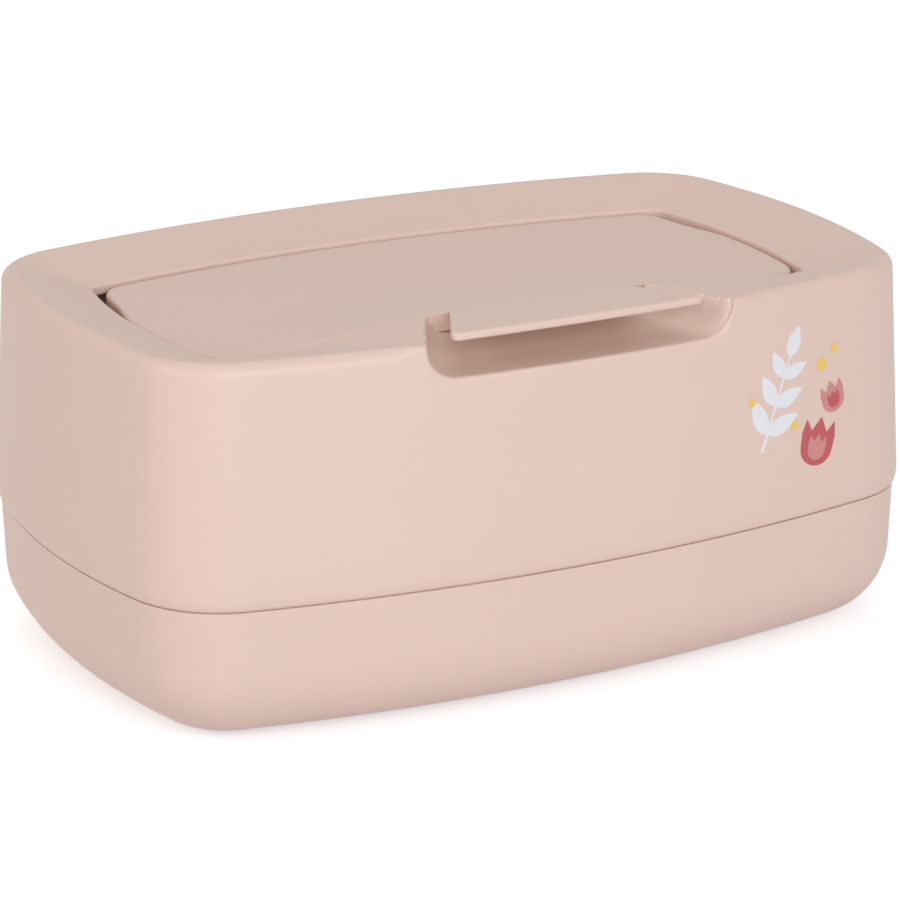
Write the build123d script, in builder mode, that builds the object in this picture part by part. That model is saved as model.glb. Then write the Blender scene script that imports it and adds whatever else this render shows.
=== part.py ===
"""Wipes box: a base tray, a lift-off casing with a dished top, a hinged flap with a finger tab,
its seal and hinge pins, a press plate inside and four feet. Millimetres, +Z up, front at -Y."""
import os
from math import cos, radians, sin, sqrt

from build123d import *

# Overall form
length = 220.0  # widest outline, at the casing's lower band
width = 141.0
height = 95.0  # crest of the casing's top
long_bulge = 404.0  # radius of the bowed front and rear
short_bulge = 192.0  # radius of the bowed ends
corner_radius = 26.0

# Casing shell
seam_height = 36.5
band_height = 3.3  # lower band that rolls in to the seam
band_roll = 0.6
casing_draft = 3.1  # degrees
wall = 2.2
crest_fillet = 3.3

# Dished top and the well for the flap
dish_depth = 5.2
dish_margin = 5.5  # crest outline to the start of the dish
well_inset = 26.5
well_corner = 4.5
relief_radius = 4.0  # rounded pockets in the well's rear corners that clear the opening flap
relief_x = 77.3
relief_y = 32.0
deck_depth = 11.3  # well edge down to the deck
deck_thickness = 2.2
mouth_length = 130.0  # opening the wipes are pulled through
mouth_width = 46.0
mouth_corner = 16.0
mouth_shift = -3.0  # along Y, clear of the hinge trough
rim_height = 5.0  # sealing rim round the mouth
rim_wall = 1.8

# Raised brow at the middle of the front, and the finger scoop cut into it
brow_radius = 500.0
brow_half_width = 75.0
scoop_half_width = 42.0
scoop_centre_y = -64.0  # centre of the scoop's elliptical section
scoop_centre_rise = 7.0  # above the crest
scoop_radius_y = 24.5
scoop_radius_z = 17.3
scoop_fillet = 9.0
lip_half_width = 37.5  # part of the scoop's back wall that belongs to the flap
lip_depth = 5.8
lip_corner = 6.0
lip_gap = 0.4
catch_width = 10.0  # snap tongue on the flap's lip
catch_drop = 1.6

# Flap
flap_gap = 1.2
flap_corner = 11.0
flap_drop = 0.9  # below the well's edge
flap_thickness = 2.2
flap_skirt = 5.0
flap_fillet = 2.5
brow_tilt = 9.4  # degrees, falling towards the rear
brow_rise = 0.25  # front of the flap's brow above the crest
tab_rise = 1.9  # tip of the tab above the crest
tab_tilt = 4.6
tab_reach = 62.5  # front edge of the tab from the middle
tab_root_half = 27.0
tab_tip_half = 33.5
tab_thickness = 2.0
tab_corner = 2.5

# Hinge
hinge_offset = 29.5  # axis behind the middle
hinge_drop = 5.0  # axis below the flap's top
hinge_spacing = 84.0  # middle of one knuckle to the other
knuckle_length = 12.0
knuckle_radius = 2.5
ear_thickness = 2.2
ear_gap = 0.4
pin_radius = 1.25
pin_clearance = 0.07
trough_clearance = 0.8
trough_relief = 1.3  # undercut behind the well's wall that the flap's rear corners swing through
ear_back = 1.8  # rear side of the ear's neck from the axis
ear_foot = 6.0  # front side of the ear's neck from the axis

# Seal
seal_width = 3.2
seal_gap = 0.3
carrier_wall = 1.2

# Base
base_step = 0.9  # base outline inside the casing's
base_draft = 2.0
base_fillet = 19.5
base_wall = 2.4
seam_gap = 0.4
seat_inset = 1.6
tongue_height = 6.0
tongue_root = 5.0
tongue_wall = 1.6
tongue_clearance = 0.3
foot_radius = 6.5
foot_thickness = 1.6
foot_proud = 0.8
foot_spacing_x = 130.0
foot_spacing_y = 56.0

# Press plate
plate_inset = 26.0
plate_thickness = 2.0
plate_corner = 10.0
plate_rim = 6.0
plate_rim_wall = 1.6
slot_length = 96.0
slot_width = 14.0
slot_collar = 2.5
slot_collar_height = 1.2

# Worked out
well_edge = height - dish_depth
deck_top = well_edge - deck_depth
flap_top = well_edge - flap_drop
flap_under = flap_top - flap_thickness
flap_bottom = flap_top - flap_skirt
axis_z = flap_top - hinge_drop
flap_inset = well_inset + flap_gap
flap_back = width / 2 - flap_inset
trough_radius = flap_back - hinge_offset + trough_clearance
flap_front = -flap_back
well_front = -(width / 2 - well_inset)
tray_bottom = foot_proud
tray_floor = tray_bottom + base_wall
tray_top = seam_height - seam_gap


def outline(inset, corner):
    """Bowed rectangle, parallel to the widest outline and `inset` inside it."""
    half_l, half_w = length / 2 - inset, width / 2 - inset
    r_long, r_short = long_bulge - inset, short_bulge - inset
    # the corner where a long bow meets an end bow
    side_x, side_y = half_l - r_short, half_w - r_long
    span = sqrt(side_x**2 + side_y**2)
    along = (r_long**2 - r_short**2 + span**2) / (2 * span)
    off = sqrt(r_long**2 - along**2)
    corner_x = (side_x * along - side_y * off) / span
    corner_y = side_y + (-side_y * along - side_x * off) / span
    if corner_y < 0 or corner_x < 0:
        corner_x = (side_x * along + side_y * off) / span
        corner_y = side_y + (-side_y * along + side_x * off) / span
    with BuildSketch(Plane.XY) as shape:
        with BuildLine():
            ThreePointArc((-corner_x, -corner_y), (0, -half_w), (corner_x, -corner_y))
            ThreePointArc((corner_x, -corner_y), (half_l, 0), (corner_x, corner_y))
            ThreePointArc((corner_x, corner_y), (0, half_w), (-corner_x, corner_y))
            ThreePointArc((-corner_x, corner_y), (-half_l, 0), (-corner_x, -corner_y))
        make_face()
        fillet(shape.vertices(), corner)
    return shape.sketch_local


def downwards(z):
    """A sketch plane at height z whose extrusions run down."""
    return Plane(origin=(0, 0, z), x_dir=(1, 0, 0), z_dir=(0, 0, -1))


def slab(inset, corner, z_low, z_high):
    """A straight block of the bowed outline."""
    with BuildPart() as block:
        with BuildSketch(Plane.XY.offset(z_low)):
            add(outline(inset, corner))
        extrude(amount=z_high - z_low)
    return block.part


def casing_body(inset, top):
    """The drafted casing form, `inset` inside its outer skin, solid up to `top`."""
    band_top = seam_height + band_height
    with BuildPart() as body:
        with BuildSketch(Plane.XY.offset(band_top)):
            add(outline(inset, corner_radius - inset))
        extrude(amount=top - band_top, taper=casing_draft)
        low_inset = inset if inset else band_roll
        with BuildSketch(Plane.XY.offset(seam_height)):
            add(outline(low_inset, corner_radius - low_inset))
        with BuildSketch(Plane.XY.offset(band_top)):
            add(outline(inset, corner_radius - inset))
        loft(ruled=True)
    return body.part


def arch(crest, y_start, depth_y, tilt, thickness=0):
    """A block under a shallow arch across X that runs back from y_start and falls by `tilt`."""
    plane = Plane(
        origin=(0, y_start, crest),
        x_dir=(-1, 0, 0),
        z_dir=(0, cos(radians(tilt)), -sin(radians(tilt))),
    )
    sag = brow_radius - sqrt(brow_radius**2 - brow_half_width**2)
    side = (brow_half_width, -sag)
    low = thickness if thickness else 5 * dish_depth
    with BuildPart() as block:
        with BuildSketch(plane):
            with BuildLine():
                ThreePointArc((-side[0], side[1]), (0, 0), side)
                Line(side, (side[0], side[1] - low))
                if thickness:
                    ThreePointArc((side[0], side[1] - low), (0, -low), (-side[0], side[1] - low))
                else:
                    Line((side[0], side[1] - low), (-side[0], side[1] - low))
                Line((-side[0], side[1] - low), (-side[0], side[1]))
            make_face()
        extrude(amount=depth_y)
    return block.part


def dish(drop):
    """What is open above the dished ring, lowered by `drop`; the brow stays in front."""
    with BuildPart() as bowl:
        with BuildSketch(Plane.XY.offset(well_edge - drop)):
            add(outline(well_inset - wall, well_corner + wall))
        with BuildSketch(Plane.XY.offset(height - drop)):
            add(outline(dish_margin, corner_radius - dish_margin))
        loft(ruled=True)
        with BuildSketch(Plane.XY.offset(height - drop)):
            add(outline(dish_margin, corner_radius - dish_margin))
        extrude(amount=height / 4)
        add(arch(height - drop, -width / 2, width / 2 + well_front - drop, 0), mode=Mode.SUBTRACT)
    return bowl.part


def scoop_block(grow):
    """The finger scoop's volume, `grow` larger all round."""
    half = scoop_half_width + grow
    section = Plane(
        origin=(-half, scoop_centre_y, height + scoop_centre_rise), x_dir=(0, 1, 0), z_dir=(1, 0, 0)
    )
    with BuildPart() as scoop:
        with BuildSketch(section):
            Ellipse(scoop_radius_y + grow, scoop_radius_z + grow)
        extrude(amount=2 * half)
        ends = scoop.edges().filter_by(lambda e: abs(abs(e.center().X) - half) < 0.01)
        fillet(ends, scoop_fillet + grow)
    return scoop.part


def lip_block(grow, y_front, y_back):
    """The lip's wide U, seen from the front, run from y_front back to y_back."""
    top = 4 * lip_depth
    half = lip_half_width + grow
    with BuildPart() as block:
        with BuildSketch(Plane(origin=(0, y_back, height), x_dir=(1, 0, 0), z_dir=(0, -1, 0))) as shape:
            with BuildLine():
                Polyline(
                    (-half, top), (-half, -lip_depth - grow), (half, -lip_depth - grow), (half, top), close=True
                )
            make_face()
            fillet(shape.vertices().group_by(Axis.Y)[0], lip_corner + grow)
        extrude(amount=y_back - y_front)
    return block.part


def mouth_block(grow, z_low, z_high):
    """The mouth's rounded rectangle, `grow` larger all round."""
    with BuildPart() as block:
        with BuildSketch(Plane.XY.offset(z_low)):
            with Locations((0, mouth_shift)):
                RectangleRounded(mouth_length + 2 * grow, mouth_width + 2 * grow, mouth_corner + grow)
        extrude(amount=z_high - z_low)
    return block.part


def rod(radius, x_start, x_end):
    """A round bar on the hinge axis."""
    with BuildPart() as bar:
        with BuildSketch(Plane(origin=(x_start, hinge_offset, axis_z), x_dir=(0, 1, 0), z_dir=(1, 0, 0))):
            Circle(radius)
        extrude(amount=x_end - x_start)
    return bar.part


def axis_box(x_start, x_end, y_low, y_high, z_low, z_high):
    """A block set by its Y distances from the hinge axis, and by X and Z."""
    with BuildPart() as block:
        with BuildSketch(Plane.XY.offset(z_low)):
            with Locations(((x_start + x_end) / 2, hinge_offset + (y_low + y_high) / 2)):
                Rectangle(x_end - x_start, y_high - y_low)
        extrude(amount=z_high - z_low)
    return block.part


def tray_body(inset, z_low, bottom_fillet):
    """The tray's drafted form with its large bottom fillet."""
    with BuildPart() as body:
        with BuildSketch(downwards(tray_top)):
            add(outline(inset, corner_radius - inset))
        extrude(amount=tray_top - z_low, taper=base_draft)
        fillet(body.faces().sort_by(Axis.Z)[0].edges(), bottom_fillet)
    return body.part


knuckle_spans = []
for side in (-1, 1):
    middle = side * hinge_spacing / 2
    knuckle_spans.append((middle - knuckle_length / 2, middle + knuckle_length / 2))
ear_spans = []
for low, high in knuckle_spans:
    ear_spans.append((low - ear_gap - ear_thickness, low - ear_gap))
    ear_spans.append((high + ear_gap, high + ear_gap + ear_thickness))

# Top casing: outer skin, hollow inside, dished on top
with BuildPart() as casing_skin:
    add(casing_body(0, height))
    fillet(casing_skin.faces().sort_by(Axis.Z)[-1].edges(), crest_fillet)

with BuildPart() as casing_hollow:
    add(casing_body(wall, height - wall))
    add(dish(wall), mode=Mode.SUBTRACT)
    with BuildSketch(downwards(seam_height)):
        add(outline(wall, corner_radius - wall))
    extrude(amount=wall)

# Hinge trough behind the deck, as wide as the well
trough_low = axis_z - trough_radius - 2 * wall
trough_half = length / 2 - well_inset + 2 * wall
with BuildPart() as trough_outer:
    add(rod(trough_radius + wall, -trough_half, trough_half))
    add(
        axis_box(-trough_half, trough_half, -ear_back - wall, 2 * trough_radius, trough_low, deck_top),
        mode=Mode.INTERSECT,
    )
    outer_inset = well_inset - trough_relief - wall
    add(slab(outer_inset, well_corner + trough_relief + wall, trough_low, deck_top), mode=Mode.INTERSECT)
with BuildPart() as trough_inner:
    add(rod(trough_radius, -trough_half, trough_half))
    add(
        axis_box(-trough_half, trough_half, -ear_back, 2 * trough_radius, trough_low, axis_z + wall),
        mode=Mode.INTERSECT,
    )
    add(
        slab(well_inset - trough_relief, well_corner + trough_relief, trough_low, axis_z + wall),
        mode=Mode.INTERSECT,
    )

with BuildPart() as hinge_ears:
    for low, high in ear_spans:
        add(rod(knuckle_radius, low, high))
        add(axis_box(low, high, -ear_foot, ear_back, deck_top - deck_thickness / 2, axis_z))
    for low, high in knuckle_spans:
        add(rod(pin_radius, low - 2 * ear_thickness, high + 2 * ear_thickness), mode=Mode.SUBTRACT)

with BuildPart() as top_casing:
    add(casing_skin.part)
    add(casing_hollow.part, mode=Mode.SUBTRACT)
    add(dish(0), mode=Mode.SUBTRACT)
    # well walls and deck, trough, scoop lining
    add(slab(well_inset - wall, well_corner + wall, deck_top - deck_thickness, well_edge - 0.2))
    add(trough_outer.part)
    with BuildPart(mode=Mode.PRIVATE) as lining:
        add(scoop_block(wall))
        add(casing_body(0, height - lip_depth), mode=Mode.INTERSECT)
    add(lining.part)
    add(slab(well_inset, well_corner, deck_top, height + dish_depth), mode=Mode.SUBTRACT)
    add(trough_inner.part, mode=Mode.SUBTRACT)
    with BuildSketch(Plane.XY.offset(deck_top)):
        with Locations((-relief_x, relief_y), (relief_x, relief_y)):
            Circle(relief_radius)
    extrude(amount=height - deck_top, mode=Mode.SUBTRACT)
    add(scoop_block(0), mode=Mode.SUBTRACT)
    add(lip_block(lip_gap, scoop_centre_y, well_front + wall), mode=Mode.SUBTRACT)
    # notch that the flap's snap tongue drops into
    with BuildSketch(Plane.XY.offset(height - lip_depth - catch_drop - lip_gap)):
        with Locations((0, (scoop_centre_y + well_front + wall) / 2)):
            Rectangle(catch_width + 2 * lip_gap, well_front + wall - scoop_centre_y)
    extrude(amount=2 * catch_drop, mode=Mode.SUBTRACT)
    # sealing rim round the mouth
    add(mouth_block(rim_wall, deck_top - deck_thickness, deck_top + rim_height))
    add(mouth_block(0, deck_top - 2 * deck_thickness, height), mode=Mode.SUBTRACT)
    add(hinge_ears.part)
top_casing.part.label = "top_casing"

# Hinge pins
with BuildPart() as hinge_pin_left:
    add(
        rod(
            pin_radius,
            knuckle_spans[0][0] - ear_gap - ear_thickness,
            knuckle_spans[0][1] + ear_gap + ear_thickness,
        )
    )
hinge_pin_left.part.label = "hinge_pin_left"

with BuildPart() as hinge_pin_right:
    add(
        rod(
            pin_radius,
            knuckle_spans[1][0] - ear_gap - ear_thickness,
            knuckle_spans[1][1] + ear_gap + ear_thickness,
        )
    )
hinge_pin_right.part.label = "hinge_pin_right"

# Flap lid: outer form, hollow and tab, then joined
brow_depth = flap_back - flap_front
with BuildPart() as flap_outer:
    add(slab(flap_inset, flap_corner, flap_bottom, flap_top))
    fillet(flap_outer.faces().sort_by(Axis.Z)[-1].edges(), flap_fillet)
    with BuildPart(mode=Mode.PRIVATE) as brow:
        add(slab(flap_inset, flap_corner, flap_bottom, height + dish_depth))
        add(arch(height + brow_rise, flap_front, brow_depth, brow_tilt), mode=Mode.INTERSECT)
    add(brow.part)

with BuildPart() as flap_hollow:
    add(slab(flap_inset + wall, flap_corner - wall, flap_bottom - wall, flap_under))
    with BuildPart(mode=Mode.PRIVATE) as brow_hollow:
        add(slab(flap_inset + wall, flap_corner - wall, flap_bottom, height))
        add(
            arch(height + brow_rise - flap_thickness, flap_front, brow_depth, brow_tilt),
            mode=Mode.INTERSECT,
        )
    add(brow_hollow.part)

with BuildPart() as tab:
    with BuildSketch(Plane.XY.offset(height - lip_depth)) as tab_plan:
        with BuildLine():
            ThreePointArc((-tab_tip_half, 1 - tab_reach), (0, -tab_reach), (tab_tip_half, 1 - tab_reach))
            Polyline(
                (tab_tip_half, 1 - tab_reach),
                (tab_root_half, flap_front),
                (tab_root_half, flap_front + wall),
                (-tab_root_half, flap_front + wall),
                (-tab_root_half, flap_front),
                (-tab_tip_half, 1 - tab_reach),
            )
        make_face()
        fillet(tab_plan.vertices().group_by(Axis.Y)[0], tab_corner)
    extrude(amount=4 * lip_depth)
    add(
        arch(height + tab_rise, -tab_reach, tab_reach, tab_tilt, tab_thickness),
        mode=Mode.INTERSECT,
    )

with BuildPart() as seal_carrier:
    add(mouth_block((rim_wall + seal_width) / 2 + carrier_wall, flap_under, height + dish_depth))
    add(
        mouth_block((rim_wall - seal_width) / 2 - carrier_wall, flap_under, height + dish_depth),
        mode=Mode.SUBTRACT,
    )
    add(flap_outer.part, mode=Mode.INTERSECT)

with BuildPart() as lip:
    add(lip_block(0, scoop_centre_y, flap_front + wall))
    add(arch(height + brow_rise, -width / 2, width / 2, 0), mode=Mode.INTERSECT)
    add(scoop_block(0), mode=Mode.SUBTRACT)
    add(slab(0, corner_radius, seam_height, height + dish_depth), mode=Mode.INTERSECT)

with BuildPart() as flap_lid:
    add(flap_outer.part)
    add(flap_hollow.part, mode=Mode.SUBTRACT)
    add(seal_carrier.part)
    add(lip.part)
    add(tab.part)
    # snap tongue under the lip
    with BuildSketch(Plane.XY.offset(height - lip_depth - catch_drop)):
        with Locations((0, flap_front - wall)):
            Rectangle(catch_width, wall)
    extrude(amount=catch_drop + 1)
    # knuckles
    for low, high in knuckle_spans:
        add(rod(knuckle_radius, low, high))
        add(axis_box(low, high, -knuckle_radius, knuckle_radius, axis_z, flap_under))
    for low, high in knuckle_spans:
        add(rod(pin_radius + pin_clearance, low, high), mode=Mode.SUBTRACT)
flap_lid.part.label = "flap_lid"

# Seal
with BuildPart() as lid_seal:
    seal_low = deck_top + rim_height + seal_gap
    add(mouth_block((rim_wall + seal_width) / 2, seal_low, flap_under))
    add(mouth_block((rim_wall - seal_width) / 2, seal_low, flap_under), mode=Mode.SUBTRACT)
lid_seal.part.label = "lid_seal"

# Base tray
foot_places = GridLocations(foot_spacing_x, foot_spacing_y, 2, 2)
with BuildPart() as base_tray:
    add(tray_body(base_step, tray_bottom, base_fillet))
    add(tray_body(base_step + base_wall, tray_floor, base_fillet - base_wall), mode=Mode.SUBTRACT)
    tongue_inset = wall + tongue_clearance
    inner_inset = tongue_inset + tongue_wall
    # seat for the casing's lower edge
    with BuildSketch(Plane.XY.offset(tray_top - tongue_root)):
        add(outline(seat_inset, corner_radius - seat_inset))
        add(outline(inner_inset, corner_radius - inner_inset), mode=Mode.SUBTRACT)
    extrude(amount=tongue_root + seam_gap)
    # tongue that the casing slides over
    with BuildSketch(Plane.XY.offset(tray_top)):
        add(outline(tongue_inset, corner_radius - tongue_inset))
        add(outline(inner_inset, corner_radius - inner_inset), mode=Mode.SUBTRACT)
    extrude(amount=tongue_height)
    # pockets for the feet
    with BuildSketch(Plane.XY.offset(tray_bottom)):
        with foot_places:
            Circle(foot_radius)
    extrude(amount=foot_thickness - foot_proud, mode=Mode.SUBTRACT)
base_tray.part.label = "base_tray"

# Feet
with BuildPart() as anti_slip_feet:
    with BuildSketch(Plane.XY):
        with foot_places:
            Circle(foot_radius)
    extrude(amount=foot_thickness)
anti_slip_feet.part.label = "anti_slip_feet"

# Press plate that lies on the wipes
with BuildPart() as press_plate:
    with BuildSketch(Plane.XY.offset(tray_floor)):
        add(outline(plate_inset, plate_corner))
    extrude(amount=plate_rim)
    with BuildSketch(Plane.XY.offset(tray_floor)):
        add(outline(plate_inset + plate_rim_wall, plate_corner - plate_rim_wall))
    extrude(amount=plate_rim - plate_thickness, mode=Mode.SUBTRACT)
    with BuildSketch(Plane.XY.offset(tray_floor + plate_rim)):
        SlotOverall(slot_length + 2 * slot_collar, slot_width + 2 * slot_collar)
    extrude(amount=slot_collar_height)
    with BuildSketch(Plane.XY.offset(tray_floor)):
        SlotOverall(slot_length, slot_width)
    extrude(amount=2 * plate_rim, mode=Mode.SUBTRACT)
press_plate.part.label = "press_plate"

os.makedirs("parts", exist_ok=True)
export_step(base_tray.part, "parts/base_tray.step")
export_step(anti_slip_feet.part, "parts/anti_slip_feet.step")
export_step(top_casing.part, "parts/top_casing.step")
export_step(hinge_pin_left.part, "parts/hinge_pin_left.step")
export_step(hinge_pin_right.part, "parts/hinge_pin_right.step")
export_step(lid_seal.part, "parts/lid_seal.step")
export_step(flap_lid.part, "parts/flap_lid.step")
export_step(press_plate.part, "parts/press_plate.step")
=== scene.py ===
"""Wipes box: smooth casing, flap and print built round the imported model, with a soft white studio."""

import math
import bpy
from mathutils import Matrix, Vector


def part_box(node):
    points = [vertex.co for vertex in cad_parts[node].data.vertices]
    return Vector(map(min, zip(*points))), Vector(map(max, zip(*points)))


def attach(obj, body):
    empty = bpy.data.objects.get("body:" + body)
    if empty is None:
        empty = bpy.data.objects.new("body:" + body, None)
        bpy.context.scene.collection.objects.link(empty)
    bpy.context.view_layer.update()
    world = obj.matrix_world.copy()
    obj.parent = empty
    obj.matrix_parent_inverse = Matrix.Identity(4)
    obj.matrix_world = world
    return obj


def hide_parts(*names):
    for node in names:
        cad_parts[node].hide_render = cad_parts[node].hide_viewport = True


bl_info = {
    "name": "Wipes Box",
    "version": (1, 0, 0),
    "blender": (4, 5, 0),
    "location": "View3D > Sidebar > Wipes Box",
    "description": "Builds a moulded wipes box with a hinged flap, and its studio",
    "category": "Object",
}

import bmesh
import bpy
from mathutils import Vector

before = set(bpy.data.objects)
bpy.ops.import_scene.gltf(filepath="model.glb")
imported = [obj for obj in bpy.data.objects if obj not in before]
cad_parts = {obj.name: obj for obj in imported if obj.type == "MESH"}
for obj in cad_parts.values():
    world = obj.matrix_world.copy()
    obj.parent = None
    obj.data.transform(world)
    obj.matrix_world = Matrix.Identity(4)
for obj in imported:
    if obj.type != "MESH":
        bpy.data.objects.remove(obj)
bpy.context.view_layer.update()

MM = 0.001
CASING_LOW, CASING_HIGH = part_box("top_casing")
SEAL_LOW, SEAL_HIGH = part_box("lid_seal")
PIN_LOW, PIN_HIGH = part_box("hinge_pin_right")
HALF_LENGTH = CASING_HIGH.x
HALF_WIDTH = CASING_HIGH.y
SEAM = CASING_LOW.z
CREST = CASING_HIGH.z
AXIS_Y = (PIN_LOW.y + PIN_HIGH.y) / 2
AXIS_Z = (PIN_LOW.z + PIN_HIGH.z) / 2

# Outline of the box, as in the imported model
LONG_BULGE = 404 * MM  # radius of the bowed front and rear
SHORT_BULGE = 192 * MM  # radius of the bowed ends
CORNER = 26 * MM
DRAFT = math.tan(math.radians(3.1))
WALL = 2.2 * MM
# Rolled lower edge of the casing: millimetres inwards from the wall, and up from the seam
BAND_PROFILE = (
    (1.5, 0.0), (0.95, 0.0), (0.72, 0.08), (0.52, 0.3), (0.34, 0.75), (0.18, 1.4), (0.06, 2.2), (0.0, 3.3)
)
BAND_TOP = SEAM + BAND_PROFILE[-1][1] * MM


def length_property(name, description, millimetres):
    return bpy.props.FloatProperty(
        name=name, description=description, default=millimetres * MM, unit="LENGTH"
    )


def colour_property(name, description, colour):
    return bpy.props.FloatVectorProperty(
        name=name, description=description, default=colour, size=3, subtype="COLOR"
    )


class WipesBoxShape(bpy.types.PropertyGroup):
    """Sizes of the moulded form."""

    crest_radius: length_property("Crest radius", "Rounding of the casing's top edge", 3.3)
    dish_depth: length_property("Dish depth", "Fall of the top from its crest to the flap", 5.2)
    well_inset: length_property("Well inset", "Outline of the flap's well inside the box's", 26.5)
    well_edge_radius: length_property("Well edge", "Rounding of the edge round the flap", 0.7)
    flap_gap: length_property("Flap gap", "Gap between the flap and the well's wall", 0.7)
    flap_edge_radius: length_property("Flap edge", "Rounding of the flap's edge", 1.4)
    brow_rise: length_property("Brow rise", "Rise of the flap's front over its flat top", 6.6)
    tab_thickness: length_property("Tab thickness", "Thickness of the finger tab", 2.0)


class WipesBoxFinish(bpy.types.PropertyGroup):
    """Colours and surface of the plastic, and the print."""

    shell: colour_property("Shell", "Colour of the moulded shell", (0.768, 0.562, 0.474))
    roughness: bpy.props.FloatProperty(
        name="Roughness", description="Roughness of the satin plastic", subtype="FACTOR", default=0.46
    )
    white_ink: colour_property("White ink", "Colour of the sprig", (0.80, 0.78, 0.79))
    red_ink: colour_property("Red ink", "Colour of the tulips", (0.52, 0.085, 0.09))
    rose_ink: colour_property("Rose ink", "Colour of the tulips' inner petals", (0.62, 0.24, 0.22))
    yellow_ink: colour_property("Yellow ink", "Colour of the berries", (0.86, 0.55, 0.13))


def shape():
    return bpy.context.scene.wipes_box_shape


def finish():
    return bpy.context.scene.wipes_box_finish


# Forms shared by the pieces


def soft_step(low, high, value):
    """0 to 1 with level ends as value goes from low to high."""
    t = min(1.0, max(0.0, (value - low) / (high - low)))
    return t * t * (3 - 2 * t)


def soft_min(a, b, blend):
    """The lower of two heights, rounded where they meet."""
    h = max(0.0, min(1.0, 0.5 + 0.5 * (b - a) / blend))
    return b + (a - b) * h - blend * h * (1 - h)


def soft_max(a, b, blend):
    return -soft_min(-a, -b, blend)


def arc_rise(radius, over):
    """Rise of a rounded corner at a distance past the start of its arc."""
    return radius - math.sqrt(max(0.0, radius * radius - over * over))


def towards(centre, point, share):
    """The place at a share of the way from centre to point."""
    (sx, sy), (x, y) = centre, point
    return sx + (x - sx) * share, sy + (y - sy) * share


# Stations along X in millimetres, close together at the lip's corners and the scoop's ends
STATIONS = sorted(
    {round(x, 3) for x in [i * 1.5 for i in range(20)]}
    | {round(29.5 + i * 0.75, 3) for i in range(11)}
    | {round(40.3 + i * 0.12, 2) for i in range(18)}
    | {5.2, 5.5, 31.8, 38.2, 38.7, 39.4, 42.6, 43.0, 43.6, 44.4, 45.4}
)
REAR_STATION = 42 * MM  # half length of the scoop at which the rear's stations stand as listed
OUTER_STEPS = 12
CORNER_STEPS = 12
END_STEPS = 15


def outline(inset, corner_rear, corner_front):
    """Points round the bowed rectangle `inset` inside the outline, rightwards from the rear's middle."""
    long_r, short_r = LONG_BULGE - inset, SHORT_BULGE - inset
    stretch = 1 + WELL_STRETCH * soft_step(DISH_MARGIN, shape().well_inset, inset)
    long_c, short_c = LONG_BULGE - HALF_WIDTH, SHORT_BULGE - HALF_LENGTH

    def corner_centre(corner):
        # centre of the arc of the front right corner, which is mirrored for the others
        a, b = long_r - corner, short_r - corner
        dx, dy = -short_c, -long_c
        span = math.hypot(dx, dy)
        along = (a * a - b * b + span * span) / (2 * span)
        off = math.sqrt(a * a - along * along)
        x = (dx * along - dy * off) / span
        y = long_c + (dy * along + dx * off) / span
        if x > 0:
            return x, -abs(y)
        return (dx * along + dy * off) / span, -abs(long_c + (dy * along - dx * off) / span)

    # the rear's stations draw together towards the well, in step with the scoop opposite
    rear_spread = scoop_half(inset) / REAR_STATION
    quarters = []
    for corner, spread in ((corner_rear, rear_spread), (corner_front, 1.0)):
        cx, cy = corner_centre(corner)
        start = math.atan2(cy - long_c, cx)
        end = math.atan2(cy, cx + short_c)
        edge_x = long_r * math.cos(start)
        xs = [x * MM * spread for x in STATIONS]
        last = xs[-1]
        for i in range(1, OUTER_STEPS):
            xs.append(last + (edge_x - last) * i / OUTER_STEPS)
        run = [(x, long_c - math.sqrt(long_r * long_r - x * x)) for x in xs]
        for i in range(CORNER_STEPS + 1):
            a = start + (end - start) * i / CORNER_STEPS
            run.append((cx + corner * math.cos(a), cy + corner * math.sin(a)))
        for i in range(1, END_STEPS + 1):
            a = end * (1 - i / END_STEPS)
            run.append((-short_c + short_r * math.cos(a), short_r * math.sin(a)))
        quarters.append(run)
    rear, front = quarters
    right = [(x, -y) for x, y in rear] + front[::-1][1:]
    right = [(x * stretch, y) for x, y in right]
    left = [(-x, y) for x, y in right[::-1]]
    return right[:-1] + left[:-1]


def face_outwards(bm):
    """Turns the faces of a closed mesh to point away from its inside."""
    bmesh.ops.recalc_face_normals(bm, faces=bm.faces)
    if bm.calc_volume(signed=True) < 0:
        bmesh.ops.reverse_faces(bm, faces=bm.faces)


def loft(name, rings, close=False):
    """Quads between rings of equal count; `close` joins last to first, else both ends are filled."""
    bm = bmesh.new()
    rows = [[bm.verts.new(p) for p in ring] for ring in rings]
    count = len(rows[0])
    pairs = list(zip(rows, rows[1:]))
    if close:
        pairs.append((rows[-1], rows[0]))
    for low, high in pairs:
        for i in range(count):
            j = (i + 1) % count
            bm.faces.new((low[i], low[j], high[j], high[i]))
    if not close:
        bm.faces.new(rows[0][::-1])
        bm.faces.new(rows[-1])
    face_outwards(bm)
    return mesh_object(name, bm)


def mesh_object(name, bm):
    mesh = bpy.data.meshes.new(name)
    bm.to_mesh(mesh)
    bm.free()
    obj = bpy.data.objects.new(name, mesh)
    bpy.context.scene.collection.objects.link(obj)
    return obj


def smooth(obj, degrees):
    """Smooth shading, with edges sharper than the angle kept crisp."""
    mesh = obj.data
    mesh.shade_smooth()
    mesh.set_sharp_from_angle(angle=math.radians(degrees))
    return obj


def combine(obj, other, operation):
    """Boolean of obj with other, applied; other is removed."""
    mod = obj.modifiers.new(operation, "BOOLEAN")
    mod.operation = operation
    mod.object = other
    mod.solver = "MANIFOLD"
    graph = bpy.context.evaluated_depsgraph_get()
    mesh = bpy.data.meshes.new_from_object(obj.evaluated_get(graph))
    obj.modifiers.clear()
    old = obj.data
    obj.data = mesh
    mesh.name = old.name
    bpy.data.meshes.remove(old)
    drop(other)
    return obj


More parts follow.
